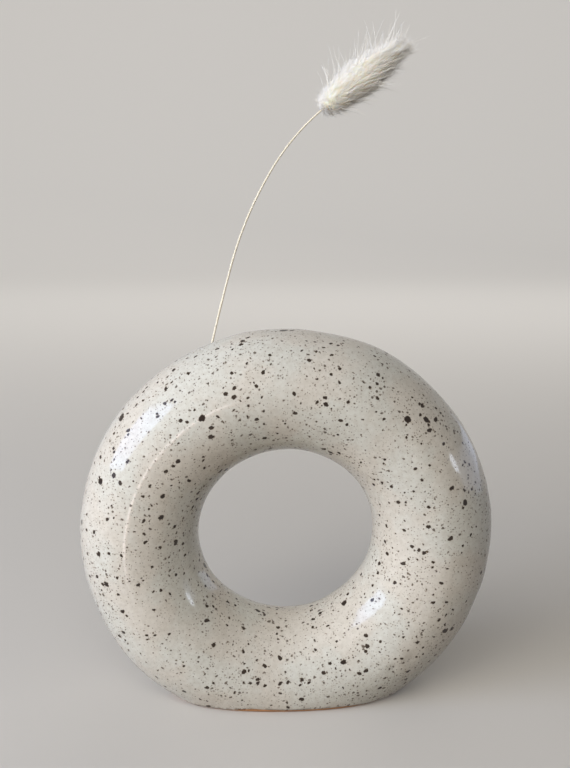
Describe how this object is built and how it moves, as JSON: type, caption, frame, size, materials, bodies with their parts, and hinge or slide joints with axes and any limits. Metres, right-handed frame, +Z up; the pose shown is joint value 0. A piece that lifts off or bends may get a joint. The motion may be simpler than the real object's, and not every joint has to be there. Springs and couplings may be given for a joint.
{
  "type": "donut vase",
  "caption": "Ring-shaped stoneware bud vase on a flat foot, with a small mouth on its shoulder and one dried bunny tail stem that lifts out and turns.",
  "frame": {"origin": "middle of the flat foot, on the surface that the vase stands on", "axes": "+Z up, -Y towards the front face of the ring, +X to the right seen from the front; the ring stands in the XZ plane"},
  "size_m": [0.18, 0.0584, 0.2933],
  "materials": {
    "bare_stoneware": "matte",
    "speckled_glaze": "gloss",
    "dried_stem": "satin",
    "seed_down": "matte",
    "seed_awns": "matte"
  },
  "bodies": {
    "vase": {"outer_wall": "bare_stoneware", "inner_wall": "bare_stoneware", "glaze_coat": "speckled_glaze"},
    "culm": {"stem_lower": "dried_stem"},
    "sprig": {"stem_upper": "dried_stem", "rachis": "dried_stem", "seed_down": "seed_down", "seed_awns": "seed_awns"}
  },
  "joints": [
    {"name": "sprig_lift", "type": "slide", "parent": "vase", "child": "culm", "axis": [0.2402, 0, 0.9707], "range_m": [0, 0.135]},
    {"name": "sprig_turn", "type": "hinge", "parent": "culm", "child": "sprig", "pos_m": [-0.03287, 0.0129, 0.15192], "axis": [0.2402, 0, 0.9707], "continuous": true}
  ]
}
